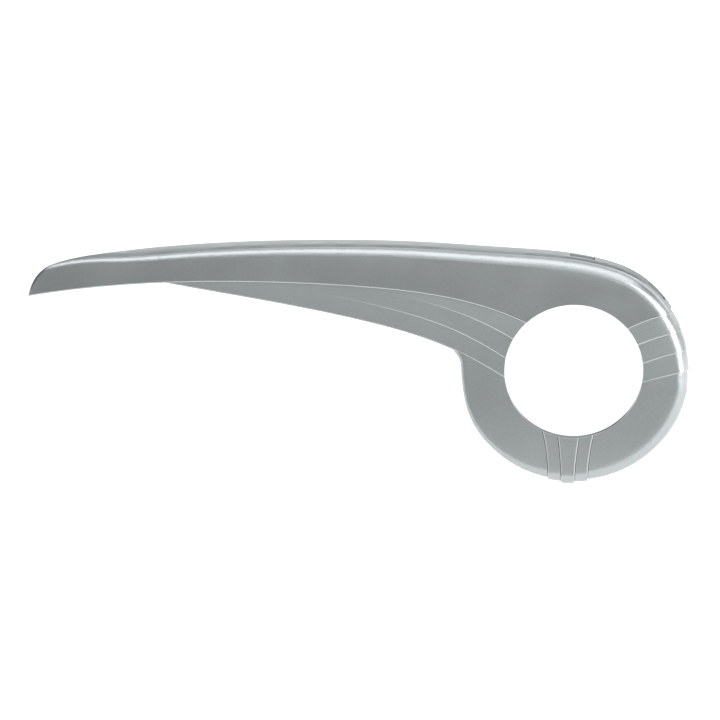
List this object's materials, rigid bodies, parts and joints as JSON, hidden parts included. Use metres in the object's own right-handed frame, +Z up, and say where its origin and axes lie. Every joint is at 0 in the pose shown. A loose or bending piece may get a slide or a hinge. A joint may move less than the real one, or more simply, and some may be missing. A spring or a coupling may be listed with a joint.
{
  "type": "bicycle chain guard",
  "caption": "Moulded chain guard in silver lacquer: a flanged ring round the chainring and a long tapering blade over the chain, with stepped feather panels.",
  "frame": {"origin": "crank axis in the plane of the outer face", "axes": "+X forward along the bicycle, from the blade's tip to the ring, +Y from the outer face towards the bicycle, +Z up"},
  "size_m": [0.5547, 0.0307, 0.2058],
  "materials": {
    "silver_lacquer": "metallic silver lacquer, satin gloss"
  },
  "bodies": {
    "root": {"chain_guard": "silver_lacquer"}
  },
  "joints": []
}
